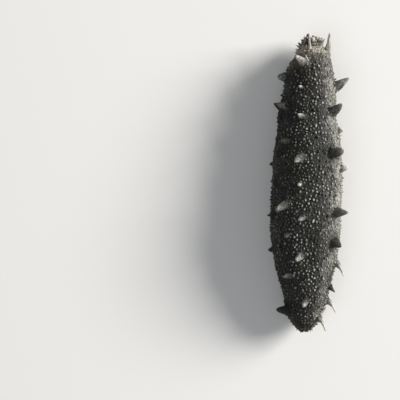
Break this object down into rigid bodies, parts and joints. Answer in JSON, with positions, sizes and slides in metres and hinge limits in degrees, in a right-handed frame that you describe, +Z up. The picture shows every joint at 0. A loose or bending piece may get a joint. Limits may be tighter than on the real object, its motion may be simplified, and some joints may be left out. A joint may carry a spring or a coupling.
{
  "type": "dried sea cucumber",
  "caption": "Still, life-size dried sea cucumber: a long warty body that tapers at both ends, with conical papillae, a toothed mouth rim and a flat sole it lies on.",
  "frame": {"origin": "under the middle of the whole box, on the plane the sole rests on", "axes": "+Y towards the mouth along the body, +Z up through the back, +X to the right seen from above with the mouth at the top"},
  "size_m": [0.022, 0.0792, 0.0174],
  "materials": {
    "skin": "dry, dark charcoal, wrinkled, with pale dusted warts"
  },
  "bodies": {
    "root": {"oral_end": "skin", "fore_trunk": "skin", "mid_trunk": "skin", "hind_trunk": "skin", "anal_end": "skin"}
  },
  "joints": []
}
